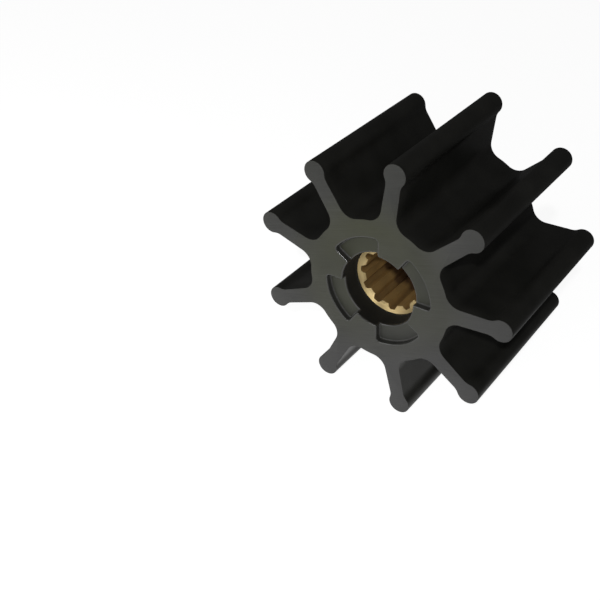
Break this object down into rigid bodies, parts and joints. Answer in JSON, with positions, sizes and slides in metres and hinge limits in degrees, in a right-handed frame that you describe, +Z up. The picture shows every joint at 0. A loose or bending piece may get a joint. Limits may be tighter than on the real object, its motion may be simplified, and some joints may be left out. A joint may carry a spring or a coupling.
{
  "type": "flexible pump impeller",
  "caption": "Flexible rubber pump impeller with straight bulb-tipped vanes round a hub and a splined brass insert, for a marine raw-water pump.",
  "frame": {"origin": "on the shaft axis, halfway between the two faces, which is also the centroid", "axes": "+Y along the shaft axis from the front face to the rear face, +Z up along the top vane, so that the impeller rests on the tips of its two lowest vanes, +X to the right seen from the front"},
  "size_m": [0.094, 0.0636, 0.0926],
  "materials": {
    "moulded_rubber": "satin",
    "insert_brass": "satin"
  },
  "bodies": {
    "root": {"impeller_body": "moulded_rubber", "splined_insert": "insert_brass"}
  },
  "joints": []
}
